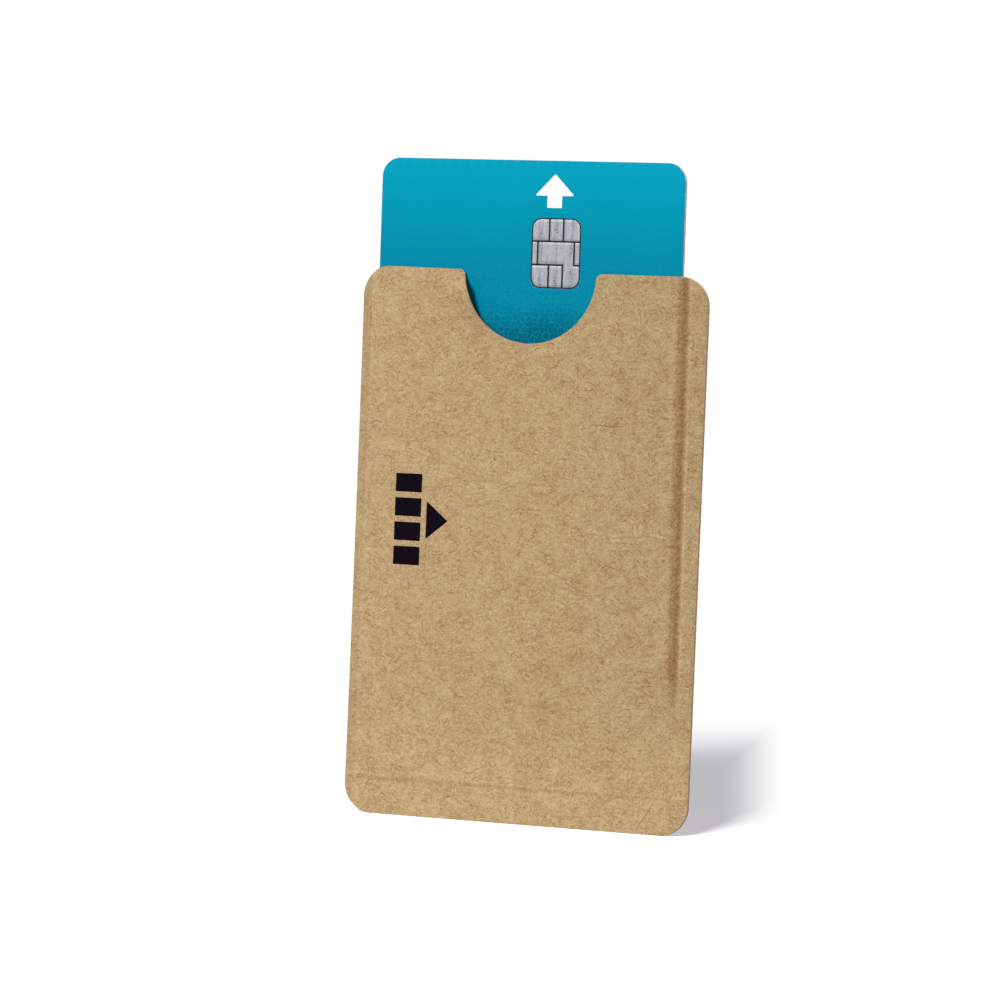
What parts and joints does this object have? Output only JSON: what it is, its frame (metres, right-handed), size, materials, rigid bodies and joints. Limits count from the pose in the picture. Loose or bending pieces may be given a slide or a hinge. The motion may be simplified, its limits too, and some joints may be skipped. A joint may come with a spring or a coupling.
{
  "type": "rfid card sleeve",
  "caption": "Flat foil-lined paper card sleeve, open at the top, with a half-round thumb notch and a plastic chip card that slides in and out.",
  "frame": {"origin": "middle of the sleeve's bottom edge, on the middle plane of the pocket", "axes": "+Z along the sleeve towards its open mouth, the way the card leaves; the notched front faces -Y; +X to the right as seen from the front"},
  "size_m": [0.0614, 0.0016, 0.1105],
  "materials": {
    "kraft_paper": "uncoated brown kraft with visible fibres",
    "foil": "bright aluminium foil",
    "sealing_film": "clear sealing film that shows the foil behind it",
    "melted_seam": "melted film along the seams",
    "dark_ink": "matt near-black ink soaked into the paper",
    "card_face": "satin laminated plastic, printed teal",
    "card_core": "plastic sheet with a reddish-brown cut edge",
    "antenna_sheet": "plastic sheet with a pinkish-brown cut edge",
    "copper_wire": "bare copper wire",
    "magnetic_tape": "dark satin magnetic tape",
    "signature_coat": "matt white writing surface",
    "white_ink": "white ink",
    "plated_contacts": "dull silver-grey plated contacts with pits and fine scratches",
    "carrier_tape": "dark glass-fibre tape",
    "hot_melt": "hot-melt glue",
    "silicon": "polished silicon",
    "gold_wire": "fine gold wire",
    "black_resin": "matt black resin drop"
  },
  "bodies": {
    "sleeve": {"front_paper": "kraft_paper", "front_foil": "foil", "front_film": "sealing_film", "back_paper": "kraft_paper", "back_foil": "foil", "back_film": "sealing_film", "left_seal": "melted_seam", "right_seal": "melted_seam", "bottom_seal": "melted_seam", "printed_mark": "dark_ink"},
    "card": {"card_front_overlay": "card_face", "card_front_core": "card_core", "antenna_sheet": "antenna_sheet", "antenna_coil": "copper_wire", "card_back_core": "card_core", "card_back_overlay": "card_face", "magnetic_stripe": "magnetic_tape", "signature_panel": "signature_coat", "insertion_arrow": "white_ink", "contact_plates": "plated_contacts", "module_carrier": "carrier_tape", "module_adhesive": "hot_melt", "chip_die": "silicon", "bond_wires": "gold_wire", "glob_top": "black_resin"}
  },
  "joints": [
    {"name": "card_slide", "type": "slide", "parent": "sleeve", "child": "card", "axis": [0, 0, 1], "range_m": [-0.0179, 0.068]}
  ]
}
